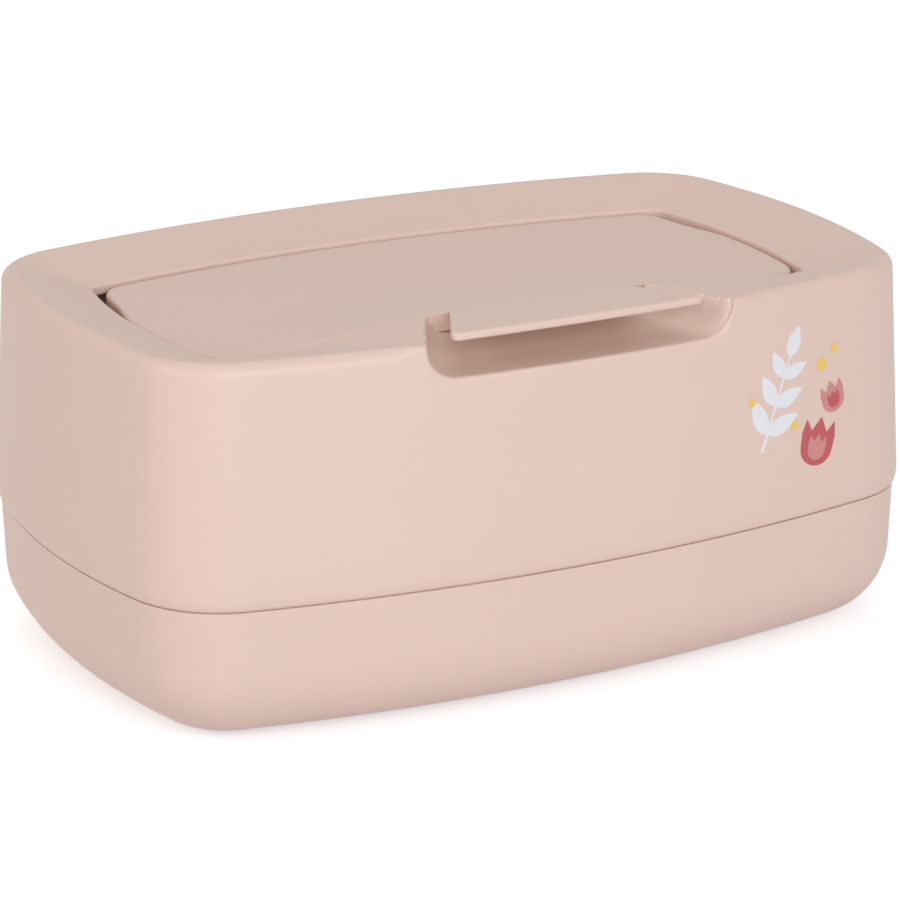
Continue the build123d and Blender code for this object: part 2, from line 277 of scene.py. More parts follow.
def join(obj, *others):
    """Adds the meshes of the others to obj."""
    bm = bmesh.new()
    bm.from_mesh(obj.data)
    for other in others:
        bm.from_mesh(other.data)
        drop(other)
    bm.to_mesh(obj.data)
    bm.free()
    return obj


def drop(obj):
    mesh = obj.data
    bpy.data.objects.remove(obj)
    bpy.data.meshes.remove(mesh)


def block(name, low, high, rounding=0.0):
    """A box between two corners with rounded edges."""
    bm = bmesh.new()
    bmesh.ops.create_cube(bm, size=1)
    for v in bm.verts:
        v.co = Vector(low[i] if v.co[i] < 0 else high[i] for i in range(3))
    if rounding:
        bmesh.ops.bevel(bm, geom=bm.edges, offset=rounding, segments=3, profile=0.5, affect="EDGES")
    return mesh_object(name, bm)


def bar(name, radius, x_start, x_end, rounding, segments=40):
    """A round bar along X on the hinge axis, with its ends' edges broken."""
    turns = [i * math.tau / segments for i in range(segments)]
    ends = (
        (x_start, radius - rounding),
        (x_start + rounding, radius),
        (x_end - rounding, radius),
        (x_end, radius - rounding),
    )
    return loft(name, [
        [(x, AXIS_Y + r * math.cos(a), AXIS_Z + r * math.sin(a)) for a in turns]
        for x, r in ends
    ])


# Heights of the casing's top and of the flap

DISH_MARGIN = 5.5 * MM
DISH_BLEND = 0.08  # share of the slope over which the dish leaves the crest
BROW_FRONT, BROW_REAR = -52 * MM, -4 * MM
BROW_HALF_IN, BROW_HALF_OUT = 20 * MM, 80 * MM
RING_LIFT = 0.1 * MM  # the raised front of the ring over the flap's rise
RING_BLEND = 1.2 * MM  # rounding where the brow and the scoop meet the ring

# Finger scoop, a hollow whose centre stands over the crest
SCOOP_HALF = 43.3 * MM  # half length at the front; it narrows towards the flap
SCOOP_SPLAY = 0.52
SCOOP_FILLET = 9 * MM
SCOOP_FILLET_FALL = 4.5 * MM  # the scoop's ends are less rounded towards the flap
SCOOP_WALL_SLOPE = 9
SCOOP_Y, SCOOP_Z = -64 * MM, 7 * MM
SCOOP_RY, SCOOP_RZ = 30.0 * MM, 15.5 * MM
SCOOP_CREST_RADIUS = 1.1 * MM

# Well, deck and dispensing mouth
WELL_STRETCH = 0.025  # the well is a little longer than its inset from the box's ends gives
WELL_REAR_CORNER, WELL_FRONT_CORNER = 4.5 * MM, 1.2 * MM
DECK_DROP, DECK_LAP = 11.3 * MM, 0.4 * MM
MOUTH_CORNER = 16 * MM
MOUTH_MARGIN = 2.5 * MM  # from the seal's outer edge in to the mouth
SEAL_SEAT = 0.3 * MM  # gap between the sealing rim and the seal

# Flap, its lip and the snap tongue
FLAP_DROP = 0.5 * MM
FLAP_THICKNESS = 2.2 * MM
FLAP_REAR_CORNER, FLAP_FRONT_CORNER = 7.5 * MM, 13 * MM
MIN_CORNER = 1.0 * MM
FLAP_FILLET = 0.8 * MM  # between the flap's underside and its skirt
SKIRT_DEPTH = 5 * MM
SKIRT_EDGE, SKIRT_INNER_EDGE = 0.4 * MM, 0.3 * MM
REAR_TAPER = 0.028  # share by which the flap's rear half is shorter
TAPER_START, TAPER_END = 2 * MM, 22 * MM
LIP_HALF, LIP_DEPTH, LIP_CORNER, LIP_GAP = 31.0 * MM, 4.2 * MM, 4.2 * MM, 0.3 * MM
CATCH_HALF, CATCH_DROP = 5.0 * MM, 0.9 * MM
CATCH_REACH, CATCH_LAP, CATCH_EDGE = 2.4 * MM, 0.6 * MM, 0.3 * MM
NOTCH_FRONT = -47.0 * MM

# Hinge, and the trough that the flap's rear edge swings in
TROUGH_HALF = 82.4 * MM
TROUGH_STEPS = 24
TROUGH_FRONT = 1.8 * MM  # from the hinge axis to the trough's square front
TROUGH_RELIEF = 3.6 * MM  # height above the hinge axis up to which the well's wall gives way to the flap
TROUGH_LAP = 0.2 * MM  # how far the trough's rear wall laps into the well's
EAR_LENGTH, EAR_GAP = 2.2 * MM, 0.4 * MM
EAR_BACK, EAR_FOOT = 1.8 * MM, 6 * MM  # reach of an ear behind and before the hinge axis
EAR_ROOT, EAR_EDGE = 1 * MM, 0.25 * MM
KNUCKLE_RADIUS, KNUCKLE_EDGE = 2.5 * MM, 0.3 * MM
WEB_HALF, WEB_LAP = 2.4 * MM, 0.6 * MM


def well_edge():
    return CREST - shape().dish_depth


def flap_level():
    return well_edge() - FLAP_DROP


def brow(x, y):
    """Rise of the flap and the front of the ring over the flap's flat top."""
    across = 1 - soft_step(BROW_HALF_IN, BROW_HALF_OUT, abs(x))
    return shape().brow_rise * across * soft_step(-BROW_REAR, -BROW_FRONT, -y)


def flap_height(x, y):
    return flap_level() + brow(x, y)


def scoop_half(depth):
    """Half length of the scoop at a depth behind the box's front."""
    return SCOOP_HALF - SCOOP_SPLAY * max(0.0, min(depth, shape().well_inset))


def scoop_height(x, y, grow=0.0):
    """Height of the scoop's hollow at a place, far above the crest outside it."""
    t = (y - SCOOP_Y) / (SCOOP_RY + grow)
    if abs(t) >= 1:
        return CREST + 30 * MM
    z = CREST + SCOOP_Z - (SCOOP_RZ + grow) * math.sqrt(1 - t * t)
    depth = y + HALF_WIDTH - x * x / (2 * LONG_BULGE)
    share = min(1.0, max(0.0, depth / shape().well_inset))
    fillet = SCOOP_FILLET - SCOOP_FILLET_FALL * share + grow
    over = abs(x) - (scoop_half(depth) + grow - fillet)
    if over > 0:
        wall = fillet - 0.15 * MM  # here the arc gives way to a steep wall
        z += arc_rise(fillet, min(over, wall)) + max(0.0, over - wall) * SCOOP_WALL_SLOPE
    return z


def lip_low(x):
    """Lower edge of the flap's lip at x, with its rounded ends."""
    over = max(0.0, abs(x) - (LIP_HALF - LIP_CORNER))
    return CREST - LIP_DEPTH + arc_rise(LIP_CORNER, min(over, LIP_CORNER))


def casing_height(x, y, inset):
    """Height of the casing's top surface: dished ring, brow, scoop, and the notch for the snap tongue."""
    fall = (inset - DISH_MARGIN) / (shape().well_inset - DISH_MARGIN)
    z = CREST
    if fall > 0:
        z -= shape().dish_depth * soft_max(0.0, fall, DISH_BLEND)
    if y < 0:
        raised = flap_level() + RING_LIFT + brow(x, y)
        if inset > DISH_MARGIN:
            z = soft_max(z, raised, RING_BLEND)
        z = min(z, CREST)
    hollow = scoop_height(x, y)
    if y < 0 and hollow < CREST + 5 * MM:
        z = soft_min(z, hollow, RING_BLEND)
        if y > NOTCH_FRONT and abs(x) < CATCH_HALF + LIP_GAP:
            z = min(z, CREST - LIP_DEPTH - CATCH_DROP - LIP_GAP)
    return z


def inside_scoop(x, y):
    """1 on the casing's front where the scoop cuts it, 0 elsewhere."""
    if y > 0:
        return 0.0
    return 1 - soft_step(SCOOP_HALF + 0.3 * MM, SCOOP_HALF + 6 * MM, abs(x))


def wall_inset(z):
    return max(0.0, z - BAND_TOP) * DRAFT


class OutlineTable:
    """Outlines at closely spaced insets, so that each station can have an inset of its own."""

    def __init__(self, deepest, corner, step=0.5 * MM):
        self.step = step
        insets = [i * step for i in range(int(deepest / step) + 2)]
        self.rows = [
            outline(inset, corner(inset, WELL_REAR_CORNER), corner(inset, WELL_FRONT_CORNER))
            for inset in insets
        ]

    def point(self, station, inset):
        f = max(0.0, inset / self.step)
        i = min(int(f), len(self.rows) - 2)
        f -= i
        a, b = self.rows[i][station], self.rows[i + 1][station]
        return a[0] + (b[0] - a[0]) * f, a[1] + (b[1] - a[1]) * f


WALL_STEPS = 12
CREST_STEPS = 8
RING_STEPS = 34
EDGE_STEPS = 5
CEILING_STEPS = 12
INNER_WALL_HEIGHTS = (70 * MM, 55 * MM)


def casing_rings():
    """Rings of the casing, from its lower edge up the wall, over the top and back down inside."""
    s = shape()

    def corner(inset, last):
        """Radius of a corner, which goes from the box's own to the last one at the well."""
        blend = soft_step(DISH_MARGIN, s.well_inset, inset)
        return max(last, (CORNER - inset) * (1 - blend) + last * blend)

    table = OutlineTable(s.well_inset + 0.5 * MM, corner)
    count = len(table.rows[0])
    rings = []

    def ring(make):
        rings.append([make(i) for i in range(count)])

    # rolled lower edge
    for inset, rise in BAND_PROFILE:
        ring(lambda i: (*table.point(i, inset * MM), SEAM + rise * MM))

    tops = []
    for i in range(count):
        x, y = table.point(i, wall_inset(CREST))
        inner = inside_scoop(x, y)
        radius = s.crest_radius * (1 - inner) + SCOOP_CREST_RADIUS * inner
        top = casing_height(x, y, 0.0)
        tops.append((top, radius))

    for k in range(1, WALL_STEPS + 1):
        t = (k / WALL_STEPS) ** 0.8

        def on_wall(i):
            top, radius = tops[i]
            z = BAND_TOP + (top - radius - BAND_TOP) * t
            return (*table.point(i, wall_inset(z)), z)

        ring(on_wall)

    for k in range(1, CREST_STEPS + 1):
        a = math.pi / 2 * k / CREST_STEPS

        def on_crest(i):
            top, radius = tops[i]
            inset = wall_inset(top - radius) + radius * (1 - math.cos(a))
            x, y = table.point(i, inset)
            local = casing_height(x, y, inset)
            return (x, y, min(top, local) - radius + radius * math.sin(a))

        ring(on_crest)

    edge = s.well_edge_radius
    for k in range(1, RING_STEPS + 1):
        t = k / RING_STEPS

        def on_top(i):
            top, radius = tops[i]
            start = wall_inset(top - radius) + radius
            inset = start + (s.well_inset - edge - start) * t
            x, y = table.point(i, inset)
            return (x, y, casing_height(x, y, inset))

        ring(on_top)

    def edge_height(i):
        x, y = table.point(i, s.well_inset - edge)
        return casing_height(x, y, s.well_inset - edge)

    for k in range(1, EDGE_STEPS + 1):
        a = math.pi / 2 * k / EDGE_STEPS

        def on_edge(i):
            x, y = table.point(i, s.well_inset - edge + edge * math.sin(a))
            return (x, y, edge_height(i) - edge * (1 - math.cos(a)))

        ring(on_edge)

    deck = well_edge() - DECK_DROP
    for t in (0.35, 0.7, 0.93):
        ring(lambda i: (*table.point(i, s.well_inset), (edge_height(i) - edge) * (1 - t) + deck * t))
    ring(lambda i: (*table.point(i, s.well_inset + 0.3 * MM), deck))
    rings += mouth_rings(table, count, deck)

    # underside of the deck, outside of the well, underside of the ring, inner wall
    under = deck - WALL
    outer_well = s.well_inset - WALL

    def ceiling(x, y, inset):
        z = CREST - WALL - s.dish_depth * max(0.0, (inset - DISH_MARGIN) / (s.well_inset - DISH_MARGIN))
        if y < 0:
            z = min(z, scoop_height(x, y, WALL))
            if abs(x) < LIP_HALF + 2 * WALL:
                z = min(z, CREST - LIP_DEPTH - CATCH_DROP - WALL)
        return z

    ring(lambda i: (*table.point(i, outer_well), under))
    for k in range(CEILING_STEPS + 1):
        t = k / CEILING_STEPS

        def below(i):
            inset = outer_well + (wall_inset(CREST) + WALL + 0.4 * MM - outer_well) * t
            x, y = table.point(i, inset)
            if k < CEILING_STEPS:
                return (x, y, max(under + 0.5 * MM, ceiling(x, y, inset)))
            return (x, y, max(under, ceiling(x, y, inset) - 1 * MM))

        ring(below)
    for z in (*INNER_WALL_HEIGHTS, BAND_TOP):
        ring(lambda i: (*table.point(i, wall_inset(z) + WALL), z))
    ring(lambda i: (*table.point(i, WALL), SEAM))
    return rings


def mouth_rings(table, count, deck):
    """Rings from the deck over the sealing rim and down through the mouth."""
    centre = Vector(((SEAL_LOW.x + SEAL_HIGH.x) / 2, (SEAL_LOW.y + SEAL_HIGH.y) / 2))
    seal_half = Vector(((SEAL_HIGH.x - SEAL_LOW.x) / 2, (SEAL_HIGH.y - SEAL_LOW.y) / 2))
    rim_top = SEAL_LOW.z - SEAL_SEAT
    mouth = seal_half - Vector((MOUTH_MARGIN, MOUTH_MARGIN))

    def on_mouth(i, grow):
        x, y = table.point(i, shape().well_inset)
        # ray from the mouth's middle to the station, met with the rounded rectangle
        hx, hy, r = mouth.x + grow, mouth.y + grow, MOUTH_CORNER + grow
        dx, dy = x - centre.x, y - centre.y
        low, high = 0.0, 2.0
        for _ in range(24):
            t = (low + high) / 2
            qx, qy = max(abs(dx * t) - (hx - r), 0.0), max(abs(dy * t) - (hy - r), 0.0)
            inside = abs(dx * t) <= hx and abs(dy * t) <= hy and math.hypot(qx, qy) <= r
            if inside:
                low = t
            else:
                high = t
        return centre.x + dx * low, centre.y + dy * low

    # millimetres outwards from the mouth, and height
    profile = [
        (2.2, deck),
        (1.8, deck + 0.5 * MM),
        (1.8, rim_top - 0.6 * MM),
        (1.6, rim_top - 0.15 * MM),
        (1.25, rim_top),
        (0.55, rim_top),
        (0.2, rim_top - 0.15 * MM),
        (0.0, rim_top - 0.6 * MM),
        (0.0, deck - WALL + 0.5 * MM),
        (0.4, deck - WALL),
    ]
    return [[(*on_mouth(i, grow * MM), z) for i in range(count)] for grow, z in profile]


def trough(name, grow, top, rear_top):
    """The hinge trough: a half pipe along X behind the mouth, square in front, higher at the rear."""
    radius = HALF_WIDTH - shape().well_inset - AXIS_Y + grow
    front = AXIS_Y - TROUGH_FRONT - grow
    points = [(front, top)]
    start = math.acos(max(-1, (front - AXIS_Y) / radius))
    for i in range(TROUGH_STEPS + 1):
        a = start * (1 - i / TROUGH_STEPS)
        points.append((AXIS_Y + radius * math.cos(a), AXIS_Z - radius * math.sin(a)))
    points.append((AXIS_Y + radius, rear_top))
    if rear_top > top:
        lap_y = AXIS_Y + radius - grow + TROUGH_LAP
        points += [(lap_y, rear_top), (lap_y, top)]
    points = [p for i, p in enumerate(points) if i == 0 or math.dist(p, points[i - 1]) > 1e-6]
    half = TROUGH_HALF + grow
    bm = bmesh.new()
    left = [bm.verts.new((-half, y, z)) for y, z in points]
    right = [bm.verts.new((half, y, z)) for y, z in points]
    bm.faces.new(left)
    bm.faces.new(right[::-1])
    for i in range(len(points)):
        j = (i + 1) % len(points)
        bm.faces.new((left[i], right[i], right[j], left[j]))
    face_outwards(bm)
    return mesh_object(name, bm)


def ears_and_knuckles():
    """Places along X of the hinge's ears and knuckles, from the pins' own lengths."""
    ears, knuckles = [], []
    for node in ("hinge_pin_left", "hinge_pin_right"):
        low, high = (corner.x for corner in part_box(node))
        ears += [(low, low + EAR_LENGTH), (high - EAR_LENGTH, high)]
        knuckles.append((low + EAR_LENGTH + EAR_GAP, high - EAR_LENGTH - EAR_GAP))
    return ears, knuckles


# Flap

TOP_STEPS = 26
ROUND_STEPS = 7
LIP_STEPS = 6
UNDER_STEPS = 11


def flap_rings():
    """Rings of the flap from the middle of its top, over the edge and lip, to the middle underneath."""
    s = shape()
    inset = s.well_inset + s.flap_gap
    radius = s.flap_edge_radius

    def plan(extra):
        """Points round the flap, `extra` inside its outline."""
        rear = max(MIN_CORNER, FLAP_REAR_CORNER - extra)
        front = max(MIN_CORNER, FLAP_FRONT_CORNER - extra)
        points = outline(inset + extra, rear, front)
        # the rear half is a little shorter, so that its ends clear the well as the flap swings
        return [(x * (1 - REAR_TAPER * soft_step(TAPER_START, TAPER_END, y)), y) for x, y in points]

    def spine(p):
        limit = 45 * MM
        return max(-limit, min(limit, p[0])), 0.0

    def sheet(points, share, drop=0.0):
        """A ring under the flap's top, at a share of the way from its spine to the points."""
        places = [towards(spine(p), p, share) for p in points]
        return [(x, y, flap_height(x, y) - drop) for x, y in places]

    def in_lip(x, y):
        return y < 0 and abs(x) < LIP_HALF - LIP_GAP

    def edge_fall(x, y):
        """Fall of the rounded edge: less at the front, and next to none over the lip."""
        if in_lip(x, y):
            return 0.02 * radius
        return radius * (1 - 0.4 * soft_step(-5 * MM, 30 * MM, -y))

    top_outline = plan(radius)
    rings = []
    for k in range(1, TOP_STEPS + 1):
        rings.append(sheet(top_outline, (k / TOP_STEPS) ** 0.85))
    for k in range(1, ROUND_STEPS + 1):
        a = math.pi / 2 * k / ROUND_STEPS
        rings.append([
            (x, y, flap_height(tx, ty) - edge_fall(x, y) * (1 - math.cos(a)))
            for (x, y), (tx, ty) in zip(plan(radius * (1 - math.sin(a))), top_outline)
        ])
    rim = rings[-1]
    foot = skirt_low()
    for k in range(1, LIP_STEPS + 1):
        ring = []
        for x, y, z in rim:
            if in_lip(x, y):
                h = min(z, z + (lip_low(x) - z) * k / LIP_STEPS)
                t = (h - CREST - SCOOP_Z) / SCOOP_RZ
                front = SCOOP_Y + SCOOP_RY * math.sqrt(max(0.0, 1 - t * t))
                ring.append((x, min(y, front), h))
            else:
                ring.append((x, y, min(z, CREST - LIP_DEPTH) + (foot - z) * 0.02 * k))
        rings.append(ring)
    rings.append([
        (x, y, min(p[2], lip_low(x)) if in_lip(x, y) else p[2])
        for (x, y, _), p in zip(rim, ring)
    ])
    start = [min(p[2], CREST - LIP_DEPTH) for p in rings[-1]]
    for t in (0.5, 1.0):
        rings.append([(x, y, a + (foot + SKIRT_EDGE - a) * t) for (x, y, _), a in zip(rim, start)])
    rings.append([(x, y, foot) for x, y in plan(SKIRT_EDGE)])
    rings.append([(x, y, foot) for x, y in plan(WALL - SKIRT_INNER_EDGE)])
    rings.append([(x, y, foot + SKIRT_INNER_EDGE) for x, y in plan(WALL)])
    under_outline = plan(WALL + FLAP_FILLET)
    rings.append([
        (x, y, flap_height(tx, ty) - FLAP_THICKNESS - FLAP_FILLET)
        for (x, y), (tx, ty) in zip(plan(WALL), under_outline)
    ])
    for k in range(UNDER_STEPS):
        rings.append(sheet(under_outline, 1 - k / UNDER_STEPS, FLAP_THICKNESS))
    return rings


def skirt_low():
    return flap_level() - SKIRT_DEPTH


TAB_REACH = 65.1 * MM
TAB_ROOT_Y = -40.0 * MM
TAB_ROOT_HALF, TAB_TIP_HALF = 22.0 * MM, 33.8 * MM
TAB_CORNER, TAB_BOW, TAB_EDGE = 1.7 * MM, 0.7 * MM, 0.7 * MM
TAB_TURN = math.radians(98)  # arc of the tab's corners
TAB_SLOPE, TAB_LEVEL_Y = 0.03, -41.5 * MM
TIP_STEPS, TURN_STEPS, SIDE_STEPS, ROOT_STEPS = 44, 8, 12, 30
FACE_STEPS, TAB_EDGE_STEPS = 12, 5


def tab_height(x, y):
    """Top of the tab: it leaves the flap's surface smoothly and rises a little towards its tip."""
    return flap_height(x / 2, y) + TAB_SLOPE * (TAB_LEVEL_Y - y)


def tab_piece():
    """The finger tab as a rounded plate, ready to be joined to the flap."""

    def plan(extra):
        """Points round the tab, `extra` inside its outline."""
        half_tip, half_root = TAB_TIP_HALF - extra, TAB_ROOT_HALF - extra
        front, back = -TAB_REACH + extra, TAB_ROOT_Y - extra
        r = max(0.3 * MM, TAB_CORNER - extra)
        inner = half_tip - r

        def front_y(x):
            return front + TAB_BOW * (x / half_tip) ** 2

        def corner_point(i):
            a = -math.pi / 2 + TAB_TURN * i / TURN_STEPS
            return inner + r * math.cos(a), front_y(inner) + r + r * math.sin(a)

        tip = [-inner + 2 * inner * i / TIP_STEPS for i in range(TIP_STEPS + 1)]
        corner = [corner_point(i) for i in range(1, TURN_STEPS + 1)]
        side = [towards(corner[-1], (half_root, back), i / SIDE_STEPS) for i in range(1, SIDE_STEPS + 1)]
        root = [(half_root - 2 * half_root * i / ROOT_STEPS, back) for i in range(1, ROOT_STEPS)]
        left = [(-x, y) for x, y in side[::-1] + corner[-2::-1]]
        return [(x, front_y(x)) for x in tip] + corner + side + root + left

    def spine(p):
        limit = 16 * MM
        return max(-limit, min(limit, p[0])), (TAB_ROOT_Y - TAB_REACH) / 2

    def sheet(share, drop=0.0):
        """A ring under the tab's face, at a share of the way from its spine to its edge."""
        places = [towards(spine(p), p, share) for p in face]
        return [(x, y, tab_height(x, y) - drop) for x, y in places]

    def edge(inset, drop):
        """A ring of the rounded edge, `inset` from the outline and under the face by `drop`."""
        return [(x, y, tab_height(tx, ty) - drop) for (x, y), (tx, ty) in zip(plan(inset), face)]

    face = plan(TAB_EDGE)
    thick = shape().tab_thickness
    turns = [math.pi / 2 * k / TAB_EDGE_STEPS for k in range(TAB_EDGE_STEPS + 1)]
    rings = [sheet(k / FACE_STEPS) for k in range(1, FACE_STEPS + 1)]
    rings += [edge(TAB_EDGE * (1 - math.sin(a)), TAB_EDGE * (1 - math.cos(a))) for a in turns[1:]]
    rings += [edge(TAB_EDGE * (1 - math.cos(a)), thick - TAB_EDGE * (1 - math.sin(a))) for a in turns]
    rings += [sheet(1 - k / FACE_STEPS, thick) for k in range(1, FACE_STEPS)]
    return loft("tab", rings)


# Materials


class Nodes:
    """Short helper that adds nodes to a material or world and links them."""

    def __init__(self, material):
        material.use_nodes = True
        self.tree = material.node_tree
        self.tree.nodes.clear()

    def add(self, kind, inputs=None, **settings):
        node = self.tree.nodes.new(kind)
        for key, value in settings.items():
            setattr(node, key, value)
        for key, value in (inputs or {}).items():
            socket = node.inputs[key]
            if isinstance(value, bpy.types.NodeSocket):
                self.tree.links.new(value, socket)
            else:
                socket.default_value = value
        return node

    def tone(self, factor, colour, low, high):
        """A colour that wanders between a darker and a lighter tone."""
        dark = tuple(c * low for c in colour) + (1.0,)
        light = tuple(min(1.0, c * high) for c in colour) + (1.0,)
        mix = self.add("ShaderNodeMix", {"Factor": factor, 6: dark, 7: light}, data_type="RGBA")
        return mix.outputs[2]


def moulded_plastic(name, colour, roughness, grain=1.0, soft=0.0):
    """Satin moulded plastic: faint mottling, fine spark-eroded grain, roughness that wanders a little."""
    mat = bpy.data.materials.new(name)
    n = Nodes(mat)
    place = n.add("ShaderNodeTexCoord").outputs["Object"]
    clouds = n.add("ShaderNodeTexNoise", {"Vector": place, "Scale": 14.0, "Detail": 3.0, "Roughness": 0.5})
    specks = n.add("ShaderNodeTexNoise", {"Vector": place, "Scale": 2600.0, "Detail": 2.0, "Roughness": 0.6})
    waves = n.add("ShaderNodeTexNoise", {"Vector": place, "Scale": 260.0, "Detail": 2.0, "Roughness": 0.5})
    tint = n.tone(clouds.outputs["Fac"], colour, 0.965, 1.02)
    rough = n.add(
        "ShaderNodeMapRange",
        {
            "Value": clouds.outputs["Fac"],
            "From Min": 0.3,
            "From Max": 0.7,
            "To Min": roughness - 0.03,
            "To Max": roughness + 0.04,
        },
    )
    relief = n.add("ShaderNodeMath", {0: specks.outputs["Fac"], 1: waves.outputs["Fac"]}, operation="ADD")
    bump = n.add(
        "ShaderNodeBump", {"Height": relief.outputs[0], "Strength": 0.10 * grain, "Distance": 0.00012}
    )
    shader = n.add(
        "ShaderNodeBsdfPrincipled",
        {
            "Base Color": tint,
            "Roughness": rough.outputs["Result"],
            "Normal": bump.outputs["Normal"],
            "IOR": 1.49,
        },
    )
    if soft:
        shader.inputs["Subsurface Weight"].default_value = soft
        shader.inputs["Subsurface Radius"].default_value = (1.0, 0.55, 0.4)
        shader.inputs["Subsurface Scale"].default_value = 1.2 * MM
    n.add("ShaderNodeOutputMaterial", {"Surface": shader.outputs["BSDF"]})
    return mat


def printed_ink(name, colour):
    """Pad-printed ink: a little glossier than the shell, with faint pinholes in its tone."""
    mat = bpy.data.materials.new(name)
    n = Nodes(mat)
    place = n.add("ShaderNodeTexCoord").outputs["Object"]
    grain = n.add("ShaderNodeTexNoise", {"Vector": place, "Scale": 900.0, "Detail": 2.0})
    tint = n.tone(grain.outputs["Fac"], colour, 0.93, 1.03)
    bump = n.add("ShaderNodeBump", {"Height": grain.outputs["Fac"], "Strength": 0.08, "Distance": 0.00005})
    shader = n.add(
        "ShaderNodeBsdfPrincipled",
        {"Base Color": tint, "Roughness": 0.38, "Normal": bump.outputs["Normal"]},
    )
    n.add("ShaderNodeOutputMaterial", {"Surface": shader.outputs["BSDF"]})
    return mat


def ground_steel(name):
    """Steel wire with fine drawing lines round it."""
    mat = bpy.data.materials.new(name)
    n = Nodes(mat)
    place = n.add("ShaderNodeTexCoord").outputs["Object"]
    spread = n.add("ShaderNodeMapping", {"Vector": place, "Scale": (3000.0, 300.0, 300.0)})
    lines = n.add("ShaderNodeTexNoise", {"Vector": spread.outputs["Vector"], "Scale": 1.0, "Detail": 2.0})
    rough = n.add("ShaderNodeMapRange", {"Value": lines.outputs["Fac"], "To Min": 0.22, "To Max": 0.42})
    bump = n.add("ShaderNodeBump", {"Height": lines.outputs["Fac"], "Strength": 0.1, "Distance": 0.00003})
    shader = n.add(
        "ShaderNodeBsdfPrincipled",
        {
            "Base Color": (0.55, 0.55, 0.56, 1),
            "Metallic": 1.0,
            "Roughness": rough.outputs["Result"],
            "Normal": bump.outputs["Normal"],
        },
    )
    n.add("ShaderNodeOutputMaterial", {"Surface": shader.outputs["BSDF"]})
    return mat


def shell_material():
    existing = bpy.data.materials.get("satin shell")
    if existing:
        return existing
    return moulded_plastic("satin shell", tuple(finish().shell), finish().roughness, soft=0.22)


def dress(obj, material):
    obj.data.materials.clear()
    obj.data.materials.append(material)


def dress_node(node, material):
    """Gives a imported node's own slots the material."""
    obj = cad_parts[node]
    if not obj.material_slots:
        obj.data.materials.append(material)
    for slot in obj.material_slots:
        slot.material = material


# Print

INK_LIFT, INK_LAYER, INK_SINK = 0.05 * MM, 0.03 * MM, 0.05 * MM
# Places and sizes of the print in millimetres, angles in degrees
SPRIG_X, SPRIG_Z, SPRIG_LEAN = 50.0, 55.5, 68.0
SPRIG_FIRST, SPRIG_STEP, SPRIG_TIP = 4.5, 7.2, 24.0
LEAF_SPREAD = 48
STEM_HALF = 0.45
BERRIES = ((69.4, 74.2, 1.7), (73.6, 77.6, 1.15), (60.6, 60.4, 1.25), (47.2, 68.4, 1.1))


def wall_front(x, z):
    """Y of the casing's front wall at x and z."""
    inset = wall_inset(z)
    r = LONG_BULGE - inset
    return LONG_BULGE - HALF_WIDTH - math.sqrt(r * r - x * x)


def print_shape(name, points, material, layer=0):
    """A flat printed shape on the front wall; points are x, z in millimetres, counter-clockwise."""
    lift = INK_LIFT + INK_LAYER * layer
    bm = bmesh.new()
    outer = [bm.verts.new((x * MM, 0, z * MM)) for x, z in points]
    face = bm.faces.new(outer)
    bmesh.ops.triangulate(bm, faces=[face])
    bmesh.ops.subdivide_edges(bm, edges=bm.edges, cuts=1)
    bmesh.ops.triangulate(bm, faces=bm.faces)
    shell = bmesh.ops.extrude_face_region(bm, geom=bm.faces[:])
    raised = {v for v in shell["geom"] if isinstance(v, bmesh.types.BMVert)}
    for v in bm.verts:
        depth = lift if v in raised else -INK_SINK
        v.co.y = wall_front(v.co.x, v.co.z) - depth
    bmesh.ops.recalc_face_normals(bm, faces=bm.faces)
    obj = mesh_object(name, bm)
    dress(obj, material)
    return smooth(obj, 40)


def leaf(cx, cz, angle, length, width, steps=14):
    """A pointed leaf from its base (cx, cz), along angle in degrees."""
    a = math.radians(angle)
    ux, uz = math.cos(a), math.sin(a)
    points = []
    for side in (-1, 1):
        run = range(steps) if side < 0 else range(steps, 0, -1)
        for i in run:
            t = i / steps
            w = width / 2 * math.sin(math.pi * t ** 0.8) ** 0.9
            points.append((cx + ux * length * t - side * uz * w, cz + uz * length * t + side * ux * w))
    return points


def dot(cx, cz, radius, steps=28):
    turns = [i * math.tau / steps for i in range(steps)]
    return [(cx + radius * math.cos(a), cz + radius * math.sin(a)) for a in turns]


def tulip(cx, cz, angle, size, steps=10):
    """A tulip head with three soft points, standing on (cx, cz)."""
    a = math.radians(angle)
    outline_points = []
    for i in range(steps + 1):
        t = math.pi + math.pi * i / steps
        outline_points.append((0.5 * math.cos(t), 0.42 + 0.42 * math.sin(t)))
    right = [(0.53, 0.75), (0.44, 1.08), (0.24, 0.82)]
    outline_points += right + [(0.0, 1.16)] + [(-x, z) for x, z in right[::-1]]
    return [
        (cx + size * (x * math.cos(a) - z * math.sin(a)), cz + size * (x * math.sin(a) + z * math.cos(a)))
        for x, z in outline_points
    ]


# Operators

SHARP_ANGLE = 34  # degrees from which an edge of the shell stays crisp


